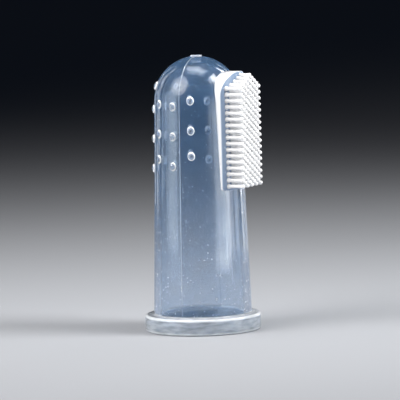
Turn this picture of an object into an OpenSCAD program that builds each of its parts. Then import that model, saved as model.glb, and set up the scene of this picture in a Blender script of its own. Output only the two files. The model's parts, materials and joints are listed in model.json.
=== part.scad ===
// Finger toothbrush for pets: a clear silicone sleeve that fits over a fingertip.
// Origin at the centre of the open end, +Z up to the dome, bristles along +X.

/* [Sleeve] */
// Height from the open end to the top of the fingertip dome
overall_h = 55.6; // [44:0.1:72]
// Outer diameter of the sleeve just above the base ring
sleeve_d = 19.9; // [18.2:0.1:25]
// Diameter of the fingertip dome
dome_d = 17.4; // [14.4:0.1:18.6]
// Wall thickness of the sleeve
wall_t = 1.5; // [1.1:0.05:2.2]

/* [Finger hole] */
// Length of the straight part of the finger hole, from the open end
mouth_h = 6; // [4:0.5:12]
// Bevel around the open end
mouth_bevel = 0.3; // [0.1:0.05:0.6]

/* [Base ring] */
// How far the base ring stands out from the sleeve
ring_w = 1.8; // [1:0.1:3]
// Height of the base ring
ring_h = 3.3; // [2:0.1:5]
// Radius of the ring's outer edges
ring_edge_r = 0.4; // [0.1:0.05:0.8]

/* [Bristle pad] */
// Width of the pad that carries the bristles
pad_w = 11.2; // [10.4:0.1:12.6]
// Height of the pad's lower edge above the open end
pad_bottom_z = 28.8; // [20:0.1:32]
// Distance from the top of the dome down to the pad's upper edge
pad_top_drop = 3.1; // [2.6:0.1:6]
// How far the pad's curved face stands out from the sleeve at its lower edge
pad_proud = 0.35; // [0.2:0.05:1]
// Radius of the pad's two upper corners
pad_corner_r = 4.6; // [2:0.1:5]

/* [Bristles] */
// Diameter of one bristle
bristle_d = 0.85; // [0.6:0.01:0.95]
// Distance between the bristles in one column
bristle_pitch = 1.2275; // [1.2:0.0025:1.6]
// Distance between the columns of bristles
column_pitch = 1.08; // [1.02:0.01:1.16]
// Distance from the sleeve's axis to the bristle tips
bristle_tip_x = 12.05; // [11.4:0.05:14]
// Distance from the pad's lower edge up to the lowest bristles
bristle_margin = 0.85; // [0.7:0.05:1.5]
// Clearance between a bristle's rounded root and the pad
root_gap = 0.03; // [0.02:0.01:0.1]

/* [Gum nubs] */
// Diameter of a nub where it meets the sleeve
nub_d = 1.95; // [1.4:0.05:2.2]
// Height of a nub
nub_h = 0.5; // [0.3:0.05:0.7]
// Angle between two columns of nubs
nub_step = 26.4; // [25:0.1:27]
// Distance from the top of the dome down to the first nub at the middle of the back
nub_top_drop = 10.1; // [8:0.1:14]
// Extra height that each column gains away from the middle of the back
nub_rise = 0.4; // [0:0.05:0.6]
// Distance between the nubs in one column
nub_pitch = 6; // [4.5:0.1:6.5]
// How much lower every second column sits
nub_stagger = 0.8; // [0:0.1:2]
// How much closer the lowest nub is in the other columns
nub_squeeze = 0.9; // [0:0.1:1.5]
// Height of the extra nubs on the dome above the nub below them
dome_nub_rise = 4.8; // [3:0.1:5]
// Clearance behind a nub's flat back
nub_gap = 0.01; // [0.01:0.01:0.05]

/* [Moulding marks] */
// Diameter of the gate mark on top of the dome
gate_d = 2.3; // [1.5:0.1:3]
// Height of the gate mark
gate_h = 0.2; // [0.1:0.05:0.4]
// Width of the parting line
parting_w = 0.16; // [0.1:0.02:0.3]
// Height of the parting line
parting_h = 0.06; // [0.04:0.01:0.12]

/* [Hidden] */
$fn = 96;
columns = 9;
middle_column = (columns + 1) / 2;
nub_columns = 9;
middle_nub_column = (nub_columns + 1) / 2;
arc_steps = 14;
edge_steps = 4;
bristle_steps = 3;

sleeve_r = sleeve_d / 2;
dome_r = dome_d / 2;
dome_z = overall_h - dome_r;
bore_r = sleeve_r - wall_t;
ring_r = sleeve_r + ring_w;
pad_top_z = overall_h - pad_top_drop;
bristle_r = bristle_d / 2;
bristle_bottom_z = pad_bottom_z + bristle_margin;

// Lean of a straight wall that starts at radius r, height z, and runs tangent into the dome
function wall_lean(r, z, end_r) =
    acos(end_r / norm([r, dome_z - z])) - atan2(dome_z - z, r);

outer_lean = wall_lean(sleeve_r, ring_h, dome_r);
inner_lean = wall_lean(bore_r, mouth_h, dome_r - wall_t);
tangent_z = dome_z + dome_r * sin(outer_lean);

// Radius of the sleeve's outer surface at height z, and the upward tilt of the surface there
function surface_r(z) = z < tangent_z
    ? sleeve_r - (z - ring_h) * tan(outer_lean)
    : sqrt(dome_r * dome_r - pow(z - dome_z, 2));
function surface_tilt(z) = z < tangent_z ? outer_lean : asin((z - dome_z) / dome_r);

pad_face_r = surface_r(pad_bottom_z) + pad_proud;
rows_middle = floor((pad_top_z - bristle_r - bristle_bottom_z) / bristle_pitch) + 1;

// Every second column sits half a pitch higher, and each column away from the middle ends
// half a pitch lower, so that the field has a pointed arch like the pad's
function steps_out(i) = abs(i - middle_column);
function column_start(i) = bristle_bottom_z + (steps_out(i) % 2) * bristle_pitch / 2;
function column_rows(i) = rows_middle - ceil(steps_out(i) / 2);
function column_y(i) = (i - middle_column) * column_pitch;

// The root is a half ball that just clears the pad's curved face, so the column can tilt about it
function root_x(i) = sqrt(pow(pad_face_r + bristle_r + root_gap, 2) - pow(column_y(i), 2));

function arc(centre, r, from, to, steps) =
    [for (s = [0:steps]) let (t = from + (to - from) * s / steps) centre + r * [cos(t), sin(t)]];

bristle_names = [for (i = [1:columns]) str("bristle_column_", i)];
nub_names = [for (i = [1:nub_columns]) str("gum_nub_column_", i)];

// Outer shape of the sleeve without its finger hole, grown outwards by a given amount
module sleeve_shape(grow = 0) {
    rotate_extrude()
        polygon(concat(
            [[0, 0], [sleeve_r + grow, 0], [sleeve_r + grow, ring_h]],
            arc([0, dome_z], dome_r + grow, outer_lean, 90, arc_steps)
        ));
}

module sleeve() {
    color([0.44, 0.58, 0.74, 0.55])
        rotate_extrude()
            polygon(concat(
                [[sleeve_r, 0], [sleeve_r, ring_h]],
                arc([0, dome_z], dome_r, outer_lean, 90, arc_steps),
                arc([0, dome_z], dome_r - wall_t, 90, inner_lean, arc_steps),
                [[bore_r, mouth_h], [bore_r, mouth_bevel], [bore_r + mouth_bevel, 0]]
            ));
}

module base_ring() {
    edge_x = ring_r - ring_edge_r;
    color([0.80, 0.84, 0.90, 0.8])
        rotate_extrude()
            polygon(concat(
                [[sleeve_r, 0]],
                arc([edge_x, ring_edge_r], ring_edge_r, -90, 0, edge_steps),
                arc([edge_x, ring_h - ring_edge_r], ring_edge_r, 0, 90, edge_steps),
                [[sleeve_r, ring_h]]
            ));
}

// Square at the bottom, round at the top, as seen from the front
module pad_outline() {
    corner = [pad_w / 2 - pad_corner_r, pad_top_z - pad_corner_r];
    polygon(concat(
        [[-pad_w / 2, pad_bottom_z], [pad_w / 2, pad_bottom_z]],
        arc(corner, pad_corner_r, 0, 90, 2 * edge_steps),
        arc([-corner[0], corner[1]], pad_corner_r, 90, 180, 2 * edge_steps)
    ));
}

module bristle_pad() {
    color([0.86, 0.90, 0.95, 0.8])
        difference() {
            intersection() {
                rotate([90, 0, 90])
                    linear_extrude(2 * pad_face_r)
                        pad_outline();
                cylinder(r = pad_face_r, h = overall_h);
            }
            sleeve_shape();
        }
}

// One bristle along +X with a ball end at each end; the root ball's centre is the origin
module bristle(length) {
    rotate([0, 90, 0])
        rotate_extrude($fn = 24)
            polygon(concat(
                arc([0, 0], bristle_r, -90, 0, bristle_steps),
                arc([0, length], bristle_r, 0, 90, bristle_steps)
            ));
}

module bristle_column(i) {
    color([0.96, 0.96, 0.98])
        for (row = [0:column_rows(i) - 1])
            translate([root_x(i), column_y(i), column_start(i) + row * bristle_pitch])
                bristle(bristle_tip_x - bristle_r - root_x(i));
}

// A shallow cap whose flat back lies against the sleeve, at an angle around the axis and a height
module nub(angle, z) {
    ball_r = (pow(nub_d / 2, 2) + nub_h * nub_h) / (2 * nub_h);
    edge_angle = asin((ball_r - nub_h) / ball_r);
    rotate([0, 0, angle])
        translate([surface_r(z), 0, z])
            rotate([0, 90 - surface_tilt(z), 0])
                translate([0, 0, nub_gap])
                    rotate_extrude($fn = 32)
                        polygon(concat(
                            [[0, 0]],
                            arc([0, nub_h - ball_r], ball_r, edge_angle, 90, edge_steps)
                        ));
}

// Every second column sits lower, and its two neighbours of the middle carry one more nub, on the
// dome; in the other columns the lowest nub sits closer to the one above it
module gum_nub_column(i) {
    out = abs(i - middle_nub_column);
    odd = out % 2;
    top_z = overall_h - nub_top_drop + out * nub_rise - odd * nub_stagger;
    drops = [0, nub_pitch, 2 * nub_pitch - (1 - odd) * nub_squeeze];
    all_drops = out == 1 ? concat([-dome_nub_rise], drops) : drops;
    color([0.90, 0.93, 0.98, 0.9])
        for (drop = all_drops)
            nub(180 + (i - middle_nub_column) * nub_step, top_z - drop);
}

module gate_mark() {
    color([0.80, 0.87, 0.95, 0.8])
        difference() {
            translate([0, 0, dome_z])
                cylinder(d = gate_d, h = dome_r + gate_h);
            sleeve_shape();
        }
}

module parting_line() {
    color([0.75, 0.83, 0.92, 0.8])
        intersection() {
            difference() {
                sleeve_shape(parting_h);
                sleeve_shape();
                cylinder(d = gate_d, h = 2 * overall_h);
            }
            translate([-parting_w / 2, -sleeve_d, ring_h])
                cube([parting_w, 2 * sleeve_d, overall_h]);
        }
}

sleeve();
base_ring();
bristle_pad();
gate_mark();
parting_line();
for (i = [1:columns])
    bristle_column(i);
for (i = [1:nub_columns])
    gum_nub_column(i);
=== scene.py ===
# Clear silicone finger toothbrush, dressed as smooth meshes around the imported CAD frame.
import json
import math

import bmesh
import bpy
import numpy as np
from mathutils import Matrix, Vector


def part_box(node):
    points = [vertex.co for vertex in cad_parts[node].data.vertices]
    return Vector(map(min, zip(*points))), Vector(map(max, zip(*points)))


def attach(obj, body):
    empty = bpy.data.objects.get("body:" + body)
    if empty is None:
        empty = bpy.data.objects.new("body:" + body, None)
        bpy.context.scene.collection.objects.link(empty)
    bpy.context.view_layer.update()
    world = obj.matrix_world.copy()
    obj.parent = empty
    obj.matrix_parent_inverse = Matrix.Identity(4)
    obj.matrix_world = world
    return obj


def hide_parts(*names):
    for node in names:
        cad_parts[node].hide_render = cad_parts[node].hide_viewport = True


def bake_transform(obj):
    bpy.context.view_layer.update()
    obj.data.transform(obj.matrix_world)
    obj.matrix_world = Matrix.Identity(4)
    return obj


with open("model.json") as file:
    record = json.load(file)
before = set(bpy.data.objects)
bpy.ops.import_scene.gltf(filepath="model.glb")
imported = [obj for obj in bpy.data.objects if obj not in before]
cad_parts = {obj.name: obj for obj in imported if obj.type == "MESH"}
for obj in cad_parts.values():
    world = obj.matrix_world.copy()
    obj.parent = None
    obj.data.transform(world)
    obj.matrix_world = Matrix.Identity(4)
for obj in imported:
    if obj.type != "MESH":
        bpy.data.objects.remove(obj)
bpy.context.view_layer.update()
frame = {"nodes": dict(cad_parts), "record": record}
nodes, record = frame["nodes"], frame["record"]
mm = 0.001
print("frame loaded:", len(nodes), "nodes")


def makePiece(name, points, faces, material):  # points (n, 3) in metres, faces (m, 4) point numbers
    mesh = bpy.data.meshes.new(name)
    mesh.from_pydata(points.tolist(), [], faces.tolist())
    edit = bmesh.new()
    edit.from_mesh(mesh)
    bmesh.ops.remove_doubles(edit, verts=edit.verts, dist=1e-8)  # closes the poles of each grid
    edit.to_mesh(mesh)
    edit.free()
    mesh.shade_smooth()
    mesh.materials.append(material)
    piece = bpy.data.objects.new(name, mesh)
    bpy.context.collection.objects.link(piece)
    return piece


def gridFaces(rows, cols, wrapRows=False, wrapCols=False):  # quads of a rows x cols grid, all wound alike
    i = np.arange(rows if wrapRows else rows - 1)[:, None]
    j = np.arange(cols if wrapCols else cols - 1)[None, :]
    nextI, nextJ = (i + 1) % rows, (j + 1) % cols
    quads = np.stack([i * cols + j, i * cols + nextJ, nextI * cols + nextJ, nextI * cols + j], -1)
    return quads.reshape(-1, 4)


def repeatFaces(faces, count, stride):  # the same faces for each copy of a shape of stride points
    return (faces[None] + stride * np.arange(count)[:, None, None]).reshape(-1, faces.shape[1])


def arc(centre, radius, start, stop, steps):  # points along a circle, angles in degrees from the first axis
    turn = np.radians(np.linspace(start, stop, steps))[:, None]
    return np.array(centre) + radius * np.hstack([np.cos(turn), np.sin(turn)])


def lathe(profile, steps):  # each profile point (radius, height) is carried once round the Z axis
    angle = np.linspace(0, 2 * math.pi, steps, endpoint=False)
    radius, height = profile[:, 0, None], profile[:, 1, None]
    return np.stack([radius * np.cos(angle), radius * np.sin(angle), height + 0 * angle], -1).reshape(-1, 3)


def clusters(node, gap):  # boxes of a CAD node's solids, split wherever its heights leave a gap
    mesh = nodes[node].data
    flat = np.empty(len(mesh.vertices) * 3)
    mesh.vertices.foreach_get("co", flat)
    co = flat.reshape(-1, 3)
    co = co[np.argsort(co[:, 2])]
    cuts = np.flatnonzero(np.diff(co[:, 2]) > gap) + 1
    return np.array([[part.min(0), part.max(0)] for part in np.split(co, cuts)])


class Wire:  # one socket of a node tree; + - * on it add Math nodes
    def __init__(self, paint, socket):
        self.paint, self.socket = paint, socket

    def math(self, operation, other, flipped=False):
        first, second = (other, self) if flipped else (self, other)
        return self.paint.node("ShaderNodeMath", {"operation": operation}, {0: first, 1: second})

    def __add__(self, other):
        return self.math("ADD", other)

    def __sub__(self, other):
        return self.math("SUBTRACT", other)

    def __rsub__(self, other):
        return self.math("SUBTRACT", other, True)

    def __mul__(self, other):
        return self.math("MULTIPLY", other)

    __radd__, __rmul__ = __add__, __mul__


class Paint:  # a material's node tree
    def __init__(self, name):
        self.material = bpy.data.materials.new(name)
        self.material.use_nodes = True
        self.tree = self.material.node_tree
        self.tree.nodes.clear()

    def node(self, kind, settings, inputs, output=0):  # settings go first, then sockets; gives one output
        new = self.tree.nodes.new(kind)
        for key, value in settings.items():
            setattr(new, key, value)
        for key, value in inputs.items():
            byName = [each for each in new.inputs if key in (each.identifier, each.name)]
            socket = new.inputs[key] if isinstance(key, int) else byName[0]
            if isinstance(value, Wire):
                self.tree.links.new(value.socket, socket)
            else:
                socket.default_value = value
        return Wire(self, new.outputs[output])

    def noise(self, coords, scale, detail=3.0, rough=0.5):
        settings = {"noise_dimensions": "3D"}
        return self.node("ShaderNodeTexNoise", settings,
                         {"Vector": coords, "Scale": scale, "Detail": detail, "Roughness": rough})

    def ramp(self, value, low, high, fromValue=0.0, toValue=1.0):  # low..high becomes fromValue..toValue
        limits = {"Value": value, "From Min": low, "From Max": high, "To Min": fromValue, "To Max": toValue}
        return self.node("ShaderNodeMapRange", {"clamp": True}, limits)

    def mixColor(self, factor, first, second):
        return self.node("ShaderNodeMix", {"data_type": "RGBA"},
                         {"Factor_Float": factor, "A_Color": first, "B_Color": second}, 2)

    def coords(self):
        return self.node("ShaderNodeTexCoord", {}, {}, 3)

    def finish(self, shader):
        end = self.tree.nodes.new("ShaderNodeOutputMaterial")
        self.tree.links.new(shader.socket, end.inputs["Surface"])
        return self.material


silicone = {
    "ior": 1.41,  # clear silicone rubber
    "tint": (0.90, 0.94, 0.98, 1.0),
    "haze": (0.15, 0.33, 0.62, 1.0),  # colour of the little light that the rubber scatters
    "hazeShare": 0.115,
    "hazeScale": 250.0,  # noise cells a metre
    "hazeSpread": 0.25,  # the share varies by this much each way
    "gloss": 0.07,
    "smearScale": 330.0,
    "smear": 0.12,  # extra roughness where fingers have smeared it
    "streakWidth": 1.5 * mm,
    "streakStretch": 0.015,  # scale of the streaks along the height as a share of that across
    "streakRelief": 0.4,
    "flowScale": 420.0,
    "flowTop": 50.5 * mm,  # flow marks fan out from the gate above this height
    "flowFade": 4 * mm,
    "flowRelief": 1.6,
    "reliefDepth": 0.2 * mm,
    "dust": (0.95, 0.97, 1.0, 1.0),
    "dustCell": 0.65 * mm,
    "dustSize": 0.21,  # radius of the largest specks as a share of a cell
    "dustSkip": 0.3,  # this share of the cells holds no speck
    "dustEdge": 0.03,
    "dustLow": 12 * mm,  # specks shrink from here
    "dustHigh": 42 * mm,  # to here
    "dustShrink": 0.65,
    "dustCover": 0.8,
}


def clearSilicone(name):
    # haze: share of scatter x (1 +- spread by noise)
    # relief: streaks = noise squeezed along the height, flow = noise x a ramp up to the gate
    # dust: a speck where the distance to a cell's centre is under that cell's own random size
    paint = Paint(name)
    where = paint.coords()
    height = paint.node("ShaderNodeSeparateXYZ", {}, {"Vector": where}, 2)
    cloud = paint.noise(where, silicone["hazeScale"], 2.0)
    smear = paint.noise(where, silicone["smearScale"], 4.0, 0.6)
    squeeze = (1.0, 1.0, silicone["streakStretch"])
    tall = paint.node("ShaderNodeMapping", {"vector_type": "POINT"}, {"Vector": where, "Scale": squeeze})
    streak = paint.noise(tall, 1.0 / silicone["streakWidth"], 1.0)
    flow = paint.noise(where, silicone["flowScale"], 2.0, 0.5)
    nearGate = paint.ramp(height, silicone["flowTop"], silicone["flowTop"] + silicone["flowFade"])
    rough = paint.ramp(smear, 0.45, 0.8, silicone["gloss"], silicone["gloss"] + silicone["smear"])
    relief = streak * silicone["streakRelief"] + flow * nearGate * silicone["flowRelief"]
    bump = paint.node("ShaderNodeBump", {}, {
        "Height": relief, "Strength": 0.5, "Distance": silicone["reliefDepth"]})
    glass = paint.node("ShaderNodeBsdfPrincipled", {}, {
        "Base Color": silicone["tint"], "Roughness": rough, "Normal": bump, "IOR": silicone["ior"],
        "Transmission Weight": 1.0})
    milk = paint.node("ShaderNodeBsdfPrincipled", {}, {
        "Base Color": silicone["haze"], "Roughness": 0.5, "Normal": bump, "IOR": silicone["ior"]})
    least = (1 - silicone["hazeSpread"]) * silicone["hazeShare"]
    most = (1 + silicone["hazeSpread"]) * silicone["hazeShare"]
    share = paint.ramp(cloud, 0.3, 0.7, least, most)
    body = paint.node("ShaderNodeMixShader", {}, {0: share, 1: glass, 2: milk})
    cells = {"feature": "F1", "voronoi_dimensions": "3D"}
    spacing = {"Vector": where, "Scale": 1.0 / silicone["dustCell"]}
    away = paint.node("ShaderNodeTexVoronoi", cells, spacing, 0)
    pick = paint.node("ShaderNodeTexVoronoi", cells, spacing, 1)
    chance = paint.node("ShaderNodeSeparateColor", {}, {"Color": pick}, 0)
    largest = paint.ramp(height, silicone["dustLow"], silicone["dustHigh"],
                         silicone["dustSize"], silicone["dustShrink"] * silicone["dustSize"])
    size = paint.ramp(chance, silicone["dustSkip"], 1.0) * largest
    speck = paint.ramp(size - away, 0.0, silicone["dustEdge"])
    lint = paint.node("ShaderNodeBsdfPrincipled", {}, {"Base Color": silicone["dust"], "Roughness": 0.6})
    cover = speck * silicone["dustCover"]
    return paint.finish(paint.node("ShaderNodeMixShader", {}, {0: cover, 1: body, 2: lint}))


milky = {
    "cloudScale": 900.0,  # noise cells a metre
    "rippleScale": 1500.0,
    "rippleStrength": 0.08,
    "rippleDepth": 0.2 * mm,
    "smear": 0.15,  # extra roughness in the clouds
    "streakScale": 1600.0,
    "streakFlatten": 0.22,  # scale of the streaks round the object as a share of that along its height
    "paler": 1.1,
    "glowDepth": 0.8 * mm,  # how far light travels in the milk
}


def milkySilicone(name, look):
    # clear rubber veiled by milk: share = base share x streaks, rising to the rim share where the piece's rim
    # mask is 1; the rim is a painted highlight, whiter milk laid along edges, nub rings and bristle tips
    paint = Paint(name)
    where = paint.coords()
    # the rim mask marks where a painted highlight is laid, set point by point on each piece
    rimHighlight = paint.node("ShaderNodeAttribute", {"attribute_name": "rimHighlight"}, {}, 2)
    cloud = paint.noise(where, milky["cloudScale"], 3.0)
    ripple = paint.noise(where, milky["rippleScale"], 2.0)
    rough = paint.ramp(cloud, 0.35, 0.75, look["gloss"], look["gloss"] + milky["smear"])
    bump = paint.node("ShaderNodeBump", {}, {
        "Height": ripple, "Strength": milky["rippleStrength"], "Distance": milky["rippleDepth"]})
    glass = paint.node("ShaderNodeBsdfPrincipled", {}, {
        "Base Color": look["tint"], "Roughness": rough, "Normal": bump, "IOR": silicone["ior"],
        "Transmission Weight": 1.0})
    paler = tuple(min(1.0, milky["paler"] * part) for part in look["milk"][:3]) + (1.0,)
    pale = paint.mixColor(cloud, look["milk"], paler)
    milk = paint.node("ShaderNodeBsdfPrincipled", {}, {
        "Base Color": paint.mixColor(rimHighlight, pale, look["rimHighlight"]), "Roughness": rough, "Normal": bump,
        "IOR": silicone["ior"], "Subsurface Weight": look["glow"], "Subsurface Radius": (1.0, 1.0, 1.0),
        "Subsurface Scale": milky["glowDepth"]})
    flatten = {"Vector": where, "Scale": (milky["streakFlatten"], milky["streakFlatten"], 1.0)}
    flat = paint.node("ShaderNodeMapping", {"vector_type": "POINT"}, flatten)
    flowing = paint.noise(flat, milky["streakScale"], 3.0)
    streak = paint.ramp(flowing, 0.35, 0.65, 1 - look["streaks"], 1 + look["streaks"])
    share = rimHighlight * (look["highlightShare"] - look["share"]) + look["share"] * streak
    return paint.finish(paint.node("ShaderNodeMixShader", {}, {0: share, 1: glass, 2: milk}))


def setAttribute(piece, name, values):  # one number a point, read back by a material
    attribute = piece.data.attributes.new(name, "FLOAT", "POINT")
    attribute.data.foreach_set("value", np.asarray(values, np.float32))


def pointsOf(piece):
    flat = np.empty(len(piece.data.vertices) * 3)
    piece.data.vertices.foreach_get("co", flat)
    return flat.reshape(-1, 3)


clearMaterial = clearSilicone("clearSilicone")
rubbers = {  # milk and share are for the body of a piece; the rim colour and its share are a painted highlight along its edges
    "ring": {"tint": (0.86, 0.92, 0.98, 1.0), "milk": (0.80, 0.85, 0.92, 1.0), "rimHighlight": (0.95, 0.97, 1.0, 1.0),
             "share": 0.28, "highlightShare": 0.95, "gloss": 0.12, "glow": 0.5, "streaks": 0.35},
    "pad": {"tint": (0.80, 0.90, 0.99, 1.0), "milk": (0.34, 0.47, 0.68, 1.0), "rimHighlight": (0.97, 0.98, 1.0, 1.0),
            "share": 0.55, "highlightShare": 0.95, "gloss": 0.15, "glow": 0.0, "streaks": 0.0},
    "nub": {"tint": (0.88, 0.94, 1.0, 1.0), "milk": (0.60, 0.70, 0.85, 1.0), "rimHighlight": (1.0, 1.0, 1.0, 1.0),
            "share": 0.06, "highlightShare": 1.0, "gloss": 0.08, "glow": 0.0, "streaks": 0.0},
    "line": {"tint": (0.88, 0.94, 1.0, 1.0), "milk": (0.80, 0.88, 1.0, 1.0), "rimHighlight": (1.0, 1.0, 1.0, 1.0),
             "share": 0.42, "highlightShare": 0.42, "gloss": 0.1, "glow": 0.0, "streaks": 0.0},
    "bristle": {"tint": (0.97, 0.98, 1.0, 1.0), "milk": (0.97, 0.97, 0.99, 1.0), "rimHighlight": (1.0, 1.0, 1.0, 1.0),
                "share": 0.92, "highlightShare": 1.0, "gloss": 0.2, "glow": 0.6, "streaks": 0.0},
}
ringMaterial = milkySilicone("ringSilicone", rubbers["ring"])
padMaterial = milkySilicone("padSilicone", rubbers["pad"])
nubMaterial = milkySilicone("nubSilicone", rubbers["nub"])
lineMaterial = milkySilicone("lineSilicone", rubbers["line"])
bristleMaterial = milkySilicone("bristleSilicone", rubbers["bristle"])
print("materials made")

sleeve = {
    "domeRadius": 8.7 * mm,
    "mouthEdge": 0.3 * mm,
    "steps": 240,  # points round the sleeve
    "wallPoints": 60,  # points up the leaning wall
    "domePoints": 40,  # points from the wall to the apex
}
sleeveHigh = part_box("sleeve")[1]
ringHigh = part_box("base_ring")[1]
fingerHole = next(mount["dims"] for mount in record["mounts"] if mount["name"] == "finger_hole")
sleeveRadius, sleeveTop = sleeveHigh[0], sleeveHigh[2]
boreRadius = fingerHole["r_mm"] * mm
mouthTop = fingerHole["length_mm"] * mm + sleeve["mouthEdge"]
wall = sleeveRadius - boreRadius
ringRadius, ringTop = ringHigh[0], ringHigh[2]
domeZ = sleeveTop - sleeve["domeRadius"]


def wallLean(radius, height, endRadius):  # angle of a wall from (radius, height) tangent to the dome
    rise = domeZ - height
    return math.acos(endRadius / math.hypot(radius, rise)) - math.atan2(rise, radius)


outerLean = wallLean(sleeveRadius, ringTop, sleeve["domeRadius"])
innerLean = wallLean(boreRadius, mouthTop, sleeve["domeRadius"] - wall)


def domeArc(radius, lean):  # from the apex down to where the wall begins
    return arc((0, domeZ), radius, 90, math.degrees(lean), sleeve["domePoints"])


def outerProfile():  # apex, dome, leaning wall down to the ring's top
    dome = domeArc(sleeve["domeRadius"], outerLean)
    foot = np.array([[sleeveRadius, ringTop]])
    wallLine = dome[-1] + (foot - dome[-1]) * np.linspace(0, 1, sleeve["wallPoints"])[1:, None]
    return np.vstack([dome, wallLine])


def surfaceRadius(z):  # outer radius of the sleeve at height z
    tangentZ = domeZ + sleeve["domeRadius"] * math.sin(outerLean)
    straight = sleeveRadius - (z - ringTop) * math.tan(outerLean)
    curved = np.sqrt(np.maximum(sleeve["domeRadius"] ** 2 - (z - domeZ) ** 2, 0))
    return np.where(z < tangentZ, straight, curved)


def buildSleeve():  # one profile carried round: apex, outer wall, round lip, hole back up to its apex
    lip = sleeve["mouthEdge"]
    outer = outerProfile()
    outerFoot = arc((sleeveRadius - lip / 2, lip / 2), lip / 2, 0, -90, 5)
    innerFoot = arc((boreRadius + lip, lip), lip, -90, -180, 6)
    inner = domeArc(sleeve["domeRadius"] - wall, innerLean)[::-1]
    mouth = np.array([[boreRadius, mouthTop]])
    innerWall = mouth + (inner[0] - mouth) * np.linspace(0, 1, sleeve["wallPoints"])[:-1, None]
    profile = np.vstack([outer, outerFoot, innerFoot, innerWall, inner])
    profile[[0, -1], 0] = 0
    points = lathe(profile, sleeve["steps"])
    faces = gridFaces(len(profile), sleeve["steps"], wrapCols=True)[:, ::-1]
    return makePiece("clearSleeve", points, faces, clearMaterial)


sleevePiece = buildSleeve()
print("sleeve made")

ring = {
    "edge": 0.4 * mm,
    "overlap": 0.04 * mm,  # how far it is let into the sleeve's wall, so that the two read as one rubber
    "fillet": 0.34 * mm,
    "highlightFade": 0.15 * mm,  # the painted highlight lines along the edges fade out over this
}


def buildRing():  # a closed loop carried round: fillet, top, round edge, outside, round edge, underside
    inner, edge, bend = sleeveRadius - ring["overlap"], ring["edge"], ring["fillet"]
    topEdge = arc((ringRadius - edge, ringTop - edge), edge, 90, 0, 8)
    lowEdge = arc((ringRadius - edge, edge), edge, 0, -90, 8)
    fillet = arc((sleeveRadius + bend, ringTop + bend), bend, 180, 270, 6)
    soft = ring["highlightFade"]
    crest = np.array([[inner, ringTop + bend]])
    parts = [  # stretches of the loop, each with how strong its painted highlight is
        (crest - [0, 3 * soft], 0.0),
        (crest - [0, 2.5 * soft], 1.0),
        (crest, 1.0),
        (fillet[1:], 0.2),
        (fillet[-1:] + [soft, 0], 0.0),
        (topEdge[:1] - [soft, 0], 0.0),
        (topEdge, 0.5),
        (topEdge[-1:] - [0, soft], 0.0),
        (lowEdge[:1] + [0, soft], 0.0),
        (lowEdge, 0.4),
        (lowEdge[-1:] - [soft, 0], 0.0),
        ([[inner, 0.0]], 0.0),
    ]
    profile = np.vstack([part for part, _ in parts])
    rimHighlight = np.concatenate([np.full(len(part), share) for part, share in parts])
    steps = sleeve["steps"]
    faces = gridFaces(len(profile), steps, wrapRows=True, wrapCols=True)[:, ::-1]
    piece = makePiece("baseRing", lathe(profile, steps), faces, ringMaterial)
    # painted highlight: whiter milk on the crest, the fillet and the round edges
    setAttribute(piece, "rimHighlight", np.repeat(rimHighlight, steps))
    return piece


ringPiece = buildRing()
print("base ring made")

pad = {
    "cornerRadius": 4.6 * mm,
    "lowCorner": 0.5 * mm,
    "edge": 0.22 * mm,
    "overlap": 0.05 * mm,  # how far its back is let into the sleeve
    "rings": 14,  # copies of the outline across the back, and as many across the face
    "outlinePoints": 121,
    "highlightDepth": 0.8,  # the painted highlight behind the face is full at this share of the edge's depth
}
padLow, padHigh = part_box("bristle_pad")
padRadius = padHigh[0]
padHalf = padHigh[1]


def padOutline():  # (y, z) once round: nearly square below, round above, with even points between
    half, low, high = padHalf, padLow[2], padHigh[2]
    big, small = pad["cornerRadius"], pad["lowCorner"]
    topRight = arc((half - big, high - big), big, 0, 90, 16)
    topLeft = arc((-half + big, high - big), big, 90, 180, 16)
    lowLeft = arc((-half + small, low + small), small, 180, 270, 6)
    lowRight = arc((half - small, low + small), small, 270, 360, 6)
    corners = np.vstack([topRight, topLeft, lowLeft, lowRight, topRight[:1]])
    length = np.concatenate([[0], np.cumsum(np.hypot(*np.diff(corners, axis=0).T))])
    even = np.unique(np.concatenate([length, np.linspace(0, length[-1], pad["outlinePoints"])]))[:-1]
    return np.stack([np.interp(even, length, corners[:, 0]), np.interp(even, length, corners[:, 1])], 1)


def faceX(y):  # the pad's face is part of a cylinder about the sleeve's axis
    return np.sqrt(padRadius ** 2 - y ** 2)


def buildPad():  # shrunken copies of the outline: out across the back, round the edge, in across the face
    edge = pad["edge"]
    full = padOutline()
    middle = np.array([0.0, (padLow[2] + padHigh[2]) / 2])
    outward = (full - middle) / np.hypot(*(full - middle).T)[:, None]
    rings = []
    for share in np.linspace(0, 1, pad["rings"]):
        yz = middle + share * (full - middle)
        back = np.sqrt(np.maximum(surfaceRadius(yz[:, 1]) ** 2 - yz[:, 0] ** 2, 0)) - pad["overlap"]
        rings.append(np.column_stack([back, yz]))
    for turn in np.linspace(0, math.pi / 2, 6):  # quarter-round edge
        yz = full - outward * edge * (1 - math.cos(turn))
        rings.append(np.column_stack([faceX(yz[:, 0]) - edge * (1 - math.sin(turn)), yz]))
    inner = full - outward * edge
    for share in np.linspace(1, 0, pad["rings"] + 1)[1:]:
        yz = middle + share * (inner - middle)
        rings.append(np.column_stack([faceX(yz[:, 0]), yz]))
    faces = gridFaces(len(rings), len(full), wrapCols=True)
    piece = makePiece("bristlePad", np.vstack(rings), faces, padMaterial)
    co = pointsOf(piece)
    # painted highlight: the edge and back, behind the face, get the whiter rim milk; the face keeps the
    # bluish milk
    depth = faceX(co[:, 1]) - co[:, 0]
    setAttribute(piece, "rimHighlight", np.clip(depth / (pad["highlightDepth"] * edge), 0, 1))
    return piece


padPiece = buildPad()
print("bristle pad made")

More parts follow.
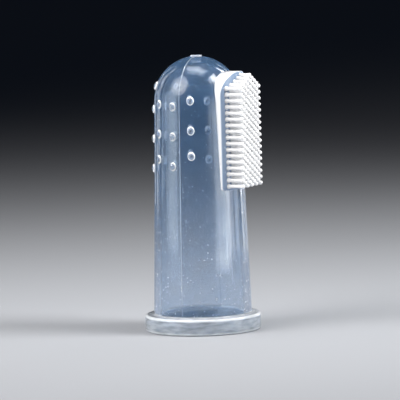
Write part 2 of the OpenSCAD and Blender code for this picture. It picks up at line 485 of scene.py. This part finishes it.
bristle = {
    "sides": 10,
    "root": 0.25 * mm,  # how far each bristle is let into the pad
    "waist": 0.80,  # radius of the shaft as a share of the ball's at the tip
    "swellStart": 2.4,  # the shaft swells from this many radii behind the tip
    "swellLength": 1.4,  # over this many radii
    "flare": 0.45,  # extra radius where it leaves the pad, as a share
    "flareLength": 0.3 * mm,
    "shaftStops": (0.0, 0.06, 0.14, 0.3, 0.6, 0.8, 1.0),  # rings of points from the pad to the ball
    "ballStops": (0.45, 0.75, 0.93, 1.0),  # and over the ball
    "tipHighlightStart": 1.6,  # the tip is painted whiter, a painted highlight, from this many radii behind its end
    "bendShare": 0.75,  # share of the free length up to a reach that is worked out but not used; the bristles stay straight
}


def bristleRadius(x, root, tip, radius):  # (waist + swell squared + dying flare) x half ball
    start = tip - bristle["swellStart"] * radius
    swell = np.clip((x - start) / (bristle["swellLength"] * radius), 0, 1) ** 2
    shape = bristle["waist"] + (1 - bristle["waist"]) * swell
    shape = shape + bristle["flare"] * np.exp(-np.maximum(x - root, 0) / bristle["flareLength"])
    ball = np.sqrt(np.clip(1 - ((x - (tip - radius)) / radius).clip(0, 1) ** 2, 0, 1))
    return radius * shape * ball


def buildColumn(number):  # one round profile along X, repeated at the height of each of the column's bristles
    solids = clusters(f"bristle_column_{number}", 0.2 * mm)
    heights = solids[:, :, 2].mean(1)
    y = solids[:, :, 1].mean()
    radius = (solids[0, 1, 2] - solids[0, 0, 2]) / 2
    tip = solids[:, 1, 0].max()
    face = float(faceX(y))
    start = face - bristle["root"]
    shaft = face + (tip - radius - face) * np.array(bristle["shaftStops"])
    ball = tip - radius * (1 - np.array(bristle["ballStops"]))
    x = np.concatenate([[start, start], shaft, ball])
    r = bristleRadius(x, face, tip, radius)
    r[0] = r[-1] = 0
    angle = np.linspace(0, 2 * math.pi, bristle["sides"], endpoint=False)
    across = r[:, None]
    ringPoints = [x[:, None] + 0 * angle, y + across * np.cos(angle), across * np.sin(angle)]
    one = np.stack(ringPoints, -1).reshape(-1, 3)
    points = one[None] + np.column_stack([0 * heights, 0 * heights, heights])[:, None]
    faces = repeatFaces(gridFaces(len(x), len(angle), wrapCols=True), len(heights), len(one))
    piece = makePiece(f"bristleColumn{number}", points.reshape(-1, 3), faces, bristleMaterial)
    # painted highlight: the ball tip is laid with the whiter rim milk
    co = pointsOf(piece)
    setAttribute(piece, "rimHighlight", np.clip((co[:, 0] - (tip - bristle["tipHighlightStart"] * radius)) / radius, 0, 1))
    return piece, face, tip, y, heights


bristlePieces = [buildColumn(number) for number in range(1, 10)]
print("bristles made:", sum(len(row[4]) for row in bristlePieces))

nub = {
    "sides": 32,
    "capPoints": 12,
    "height": 0.5 * mm,
    "size": 0.46,  # radius as a share of the CAD nub's width
    "narrow": 0.82,  # width as a share of length
    "settle": 0.25 * mm,  # how far a nub on a slope lies below its CAD box's middle
    "fillet": 0.02 * mm,  # how far the foot spreads over the sleeve
    "footRise": 0.03 * mm,
    "footDrop": 0.06 * mm,
    "sink": 0.12 * mm,  # how far it is let into the sleeve
    "highlightStart": 0.66,  # the painted highlight ring begins at this share of the radius
    "highlightFade": 0.1,
}
nubBoxes = {number: clusters(f"gum_nub_column_{number}", 1.0 * mm) for number in range(1, 10)}
# the middle column faces straight back, so its width is a nub's diameter
nubRadius = nub["size"] * (nubBoxes[5][1, 1, 1] - nubBoxes[5][1, 0, 1])


def nubProfile():  # half section: ball cap, soft foot, flat underside below the surface
    height = nub["height"]
    ballRadius = (nubRadius ** 2 + height ** 2) / (2 * height)
    edgeAngle = math.degrees(math.asin((ballRadius - height) / ballRadius))
    cap = arc((0, height - ballRadius), ballRadius, 90, edgeAngle + 6, nub["capPoints"])
    spread, drop = nubRadius + nub["fillet"], nub["footDrop"]
    foot = [[nubRadius + 0.35 * nub["fillet"], nub["footRise"]], [spread, -drop],
            [spread, -nub["sink"] - drop], [0, -nub["sink"] - drop]]
    profile = np.vstack([cap, foot])
    profile[0, 0] = 0
    return profile


def buildNubs(number):  # each nub = place + side x + up y + normal z, with the axes on the sleeve's slope
    centre = nubBoxes[number].mean(1)
    azimuth = np.arctan2(centre[:, 1], centre[:, 0])
    z = centre[:, 2]
    slope = np.arcsin(np.clip((z - domeZ) / sleeve["domeRadius"], -1, 1))
    tilt = np.where(z < domeZ, outerLean, slope)
    z = z - nub["settle"] * np.sin(tilt)
    profile = nubProfile()
    local = lathe(profile, nub["sides"])[None]
    flat = np.cos(tilt)
    normal = np.stack([np.cos(azimuth) * flat, np.sin(azimuth) * flat, np.sin(tilt)], 1)
    side = np.stack([-np.sin(azimuth), np.cos(azimuth), 0 * azimuth], 1)
    up = np.cross(normal, side)
    place = np.column_stack([surfaceRadius(z) * np.cos(azimuth), surfaceRadius(z) * np.sin(azimuth), z])
    points = (place[:, None] + nub["narrow"] * local[..., 0, None] * side[:, None]
              + local[..., 1, None] * up[:, None] + local[..., 2, None] * normal[:, None])
    grid = gridFaces(len(profile), nub["sides"], wrapCols=True)[:, ::-1]
    faces = repeatFaces(grid, len(z), local.shape[1])
    piece = makePiece(f"gumNubs{number}", points.reshape(-1, 3), faces, nubMaterial)
    # painted highlight: a white ring round each nub's edge, from its distance across the normal
    offset = pointsOf(piece)[:, None] - place[None]
    nearest = np.argmin((offset ** 2).sum(-1), 1)
    away = offset[np.arange(len(offset)), nearest]
    across = np.sqrt(np.maximum((away ** 2).sum(1) - (away * normal[nearest]).sum(1) ** 2, 0))
    setAttribute(piece, "rimHighlight", np.clip((across / nubRadius - nub["highlightStart"]) / nub["highlightFade"], 0, 1))
    return piece


nubPieces = {number: buildNubs(number) for number in nubBoxes}
print("gum nubs made")

gate = {
    "edge": 0.1 * mm,
    "dimple": 0.05 * mm,
    "dimpleWidth": 0.35,  # as a share of the radius
    "steps": 48,
    "highlightStart": 0.75,  # the painted highlight ring begins at this share of the radius
    "highlightRise": 2.4,
}
gateLow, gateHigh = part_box("gate_mark")


def buildGate():  # flat button with a round edge and a shallow dimple, let into the dome
    radius, top, edge = gateHigh[0], gateHigh[2], gate["edge"]
    across = np.linspace(0, radius - edge, 8)
    hollow = gate["dimple"] * np.exp(-(across / (gate["dimpleWidth"] * radius)) ** 2)
    face = np.column_stack([across, top - hollow])
    corner = arc((radius - edge, top - edge), edge, 90, 0, 6)
    base = [[radius + edge / 2, gateLow[2] - edge], [0, gateLow[2] - edge]]
    profile = np.vstack([face, corner[1:], base])
    faces = gridFaces(len(profile), gate["steps"], wrapCols=True)[:, ::-1]
    piece = makePiece("gateMark", lathe(profile, gate["steps"]), faces, nubMaterial)
    # painted highlight: whiter towards the button's edge
    co = pointsOf(piece)
    outside = np.clip(np.hypot(co[:, 0], co[:, 1]) / radius - gate["highlightStart"], 0, 1 - gate["highlightStart"])
    setAttribute(piece, "rimHighlight", outside * gate["highlightRise"])
    return piece


gatePiece = buildGate()

parting = {"width": 0.12 * mm, "height": 0.05 * mm, "sink": 0.05 * mm, "points": 8}


def buildParting():  # a fine half-round ridge carried up each side along the sleeve's profile
    path = outerProfile()[::-1]
    path = path[path[:, 0] > gateHigh[0]]
    tangent = np.gradient(path, axis=0)
    tangent /= np.hypot(*tangent.T)[:, None]
    outward = np.column_stack([tangent[:, 1], -tangent[:, 0]])
    turn = np.linspace(0, 2 * math.pi, parting["points"], endpoint=False)
    lift = np.where(np.sin(turn) > 0, parting["height"], parting["sink"]) * np.sin(turn)
    across = parting["width"] / 2 * np.cos(turn)
    taper = np.ones(len(path))
    taper[[0, -1]] = 0
    radial = path[:, 0, None] + taper[:, None] * outward[:, 0, None] * lift
    high = path[:, 1, None] + taper[:, None] * outward[:, 1, None] * lift
    wide = taper[:, None] * across[None]
    front = np.stack([wide, -radial, high], -1).reshape(-1, 3)
    back = np.stack([-wide, radial, high], -1).reshape(-1, 3)
    faces = gridFaces(len(path), parting["points"], wrapCols=True)
    both = repeatFaces(faces, 2, len(front))
    return makePiece("partingLine", np.vstack([front, back]), both, lineMaterial)


partingPiece = buildParting()
print("gate mark and parting line made")

staticPieces = {
    sleevePiece: ("sleeve", "clear_silicone"),
    ringPiece: ("base_ring", "frosted_silicone"),
    padPiece: ("bristle_pad", "frosted_silicone"),
    gatePiece: ("gate_mark", "frosted_silicone"),
    partingPiece: ("parting_line", "clear_silicone"),
}
for number, piece in nubPieces.items():
    staticPieces[piece] = (f"gum_nub_column_{number}", "frosted_silicone")
for piece, (node, slotName) in staticPieces.items():
    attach(piece, "sleeve_body")
    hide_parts(node)
for number, (piece, face, tip, y, heights) in enumerate(bristlePieces, 1):
    reach = face + bristle["bendShare"] * (tip - face)
    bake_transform(piece)
    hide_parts(f"bristle_column_{number}")

studio = {
    "floorSize": 4.0,
    "floorGap": 0.02 * mm,  # the floor lies this far below the ring
    "floorPale": (0.33, 0.34, 0.36, 1.0),
    "floorRough": 0.8,
    "lightSpread": 88.0,  # degrees; narrow beams light the object and leave the far floor dimmer
    "brightness": 1.12,  # multiplies every light
    "world": (0.010, 0.013, 0.020, 1.0),
}
camera = {  # degrees, metres and millimetres of lens; height is what it circles, aim is what it looks at
    "azimuth": 25.0,
    "elevation": 5.56,
    "distance": 0.7072,
    "height": 27.8 * mm,
    "aim": 26.33 * mm,
    "lens": 313.8,
    "roll": -1.56,
}
white = (1.0, 1.0, 1.0)
lights = {  # degrees round from the camera, distance, height, height aimed at, size, power, colour, shape
    "keyLeft": (-75, 0.26, 0.137, 0.137, (0.166, 0.275), 0.56, (0.86, 0.95, 1.0), "RECTANGLE"),
    "glow": (-59, 0.33, 0.27, 0.03, (0.34, 0.34), 2.4, (1.0, 0.96, 0.94), "DISK"),
    "keyRight": (77, 0.22, 0.105, 0.105, (0.098, 0.21), 0.33, white, "RECTANGLE"),
    "padLight": (72, 0.28, 0.32, 0.03, (0.16, 0.16), 1.8, white, "RECTANGLE"),
    "top": (0, 0.0, 0.42, 0.03, (0.30, 0.12), 1.0, white, "RECTANGLE"),
    "rimRight": (148, 0.40, 0.18, 0.17, (0.04, 0.36), 0.25, white, "RECTANGLE"),
    "edgeRight": (173, 0.10, 0.02, 0.02, (0.011, 0.04), 0.0006, white, "RECTANGLE"),
    "kickRight": (152, 0.15, 0.025, 0.025, (0.06, 0.05), 0.006, white, "RECTANGLE"),
    "rimLeft": (-150, 0.30, 0.12, 0.12, (0.04, 0.24), 0.03, white, "RECTANGLE"),
}


def around(azimuth, distance, height):  # a place round the object; azimuth 0 is in front of it, on -Y
    turn = math.radians(azimuth)
    return (distance * math.sin(turn), -distance * math.cos(turn), height)


def buildFloor():  # a plain matt floor of one pale colour
    half = studio["floorSize"] / 2
    corners = np.array([[-half, -half], [half, -half], [half, half], [-half, half]])
    mesh = bpy.data.meshes.new("floor")
    mesh.from_pydata(np.column_stack([corners, np.full(4, -studio["floorGap"])]).tolist(), [], [[0, 1, 2, 3]])
    paint = Paint("paleFloor")
    shader = paint.node("ShaderNodeBsdfPrincipled", {}, {
        "Base Color": studio["floorPale"], "Roughness": studio["floorRough"], "Specular IOR Level": 0.0})
    mesh.materials.append(paint.finish(shader))
    floor = bpy.data.objects.new("floor", mesh)
    bpy.context.collection.objects.link(floor)


def addLight(name, turn, distance, height, aim, size, power, colour, shape):
    data = bpy.data.lights.new(name, "AREA")
    data.shape = shape
    data.size, data.size_y = size
    half = math.radians(studio["lightSpread"]) / 2
    focus = math.tan(half) / (math.tan(half) - half)  # how much a narrow beam brightens the middle
    data.spread = 2 * half
    data.energy = studio["brightness"] * power / focus
    data.color = colour
    place = Vector(around(camera["azimuth"] + turn, distance, height))
    light = bpy.data.objects.new(name, data)
    light.location = place
    light.visible_camera = False
    light.rotation_euler = (Vector((0.0, 0.0, aim)) - place).to_track_quat("-Z", "Y").to_euler()
    bpy.context.collection.objects.link(light)


def buildWorld():  # dim and even, so that the lights do the work
    world = bpy.data.worlds.new("studio")
    world.use_nodes = True
    background = world.node_tree.nodes["Background"]
    background.inputs["Color"].default_value = studio["world"]
    background.inputs["Strength"].default_value = 1.0
    bpy.context.scene.world = world
    bpy.context.scene.view_settings.view_transform = "Standard"


def buildCamera():  # stands on a circle round the object, looks at its axis and is rolled a little
    data = bpy.data.cameras.new("camera")
    data.lens, data.sensor_width = camera["lens"], 36.0
    data.clip_start, data.clip_end = 0.01, 10.0
    elevation = math.radians(camera["elevation"])
    lift = camera["distance"] * math.sin(elevation)
    level = camera["distance"] * math.cos(elevation)
    place = Vector(around(camera["azimuth"], level, camera["height"] + lift))
    look = (Vector((0, 0, camera["aim"])) - place).to_track_quat("-Z", "Y").to_matrix().to_4x4()
    roll = Matrix.Rotation(math.radians(camera["roll"]), 4, "Z")
    eye = bpy.data.objects.new("camera", data)
    eye.matrix_world = Matrix.Translation(place) @ look @ roll
    bpy.context.collection.objects.link(eye)
    bpy.context.scene.camera = eye


buildFloor()
for name, facts in lights.items():
    addLight(name, *facts)
buildWorld()
buildCamera()
print("stage, lights and camera made")
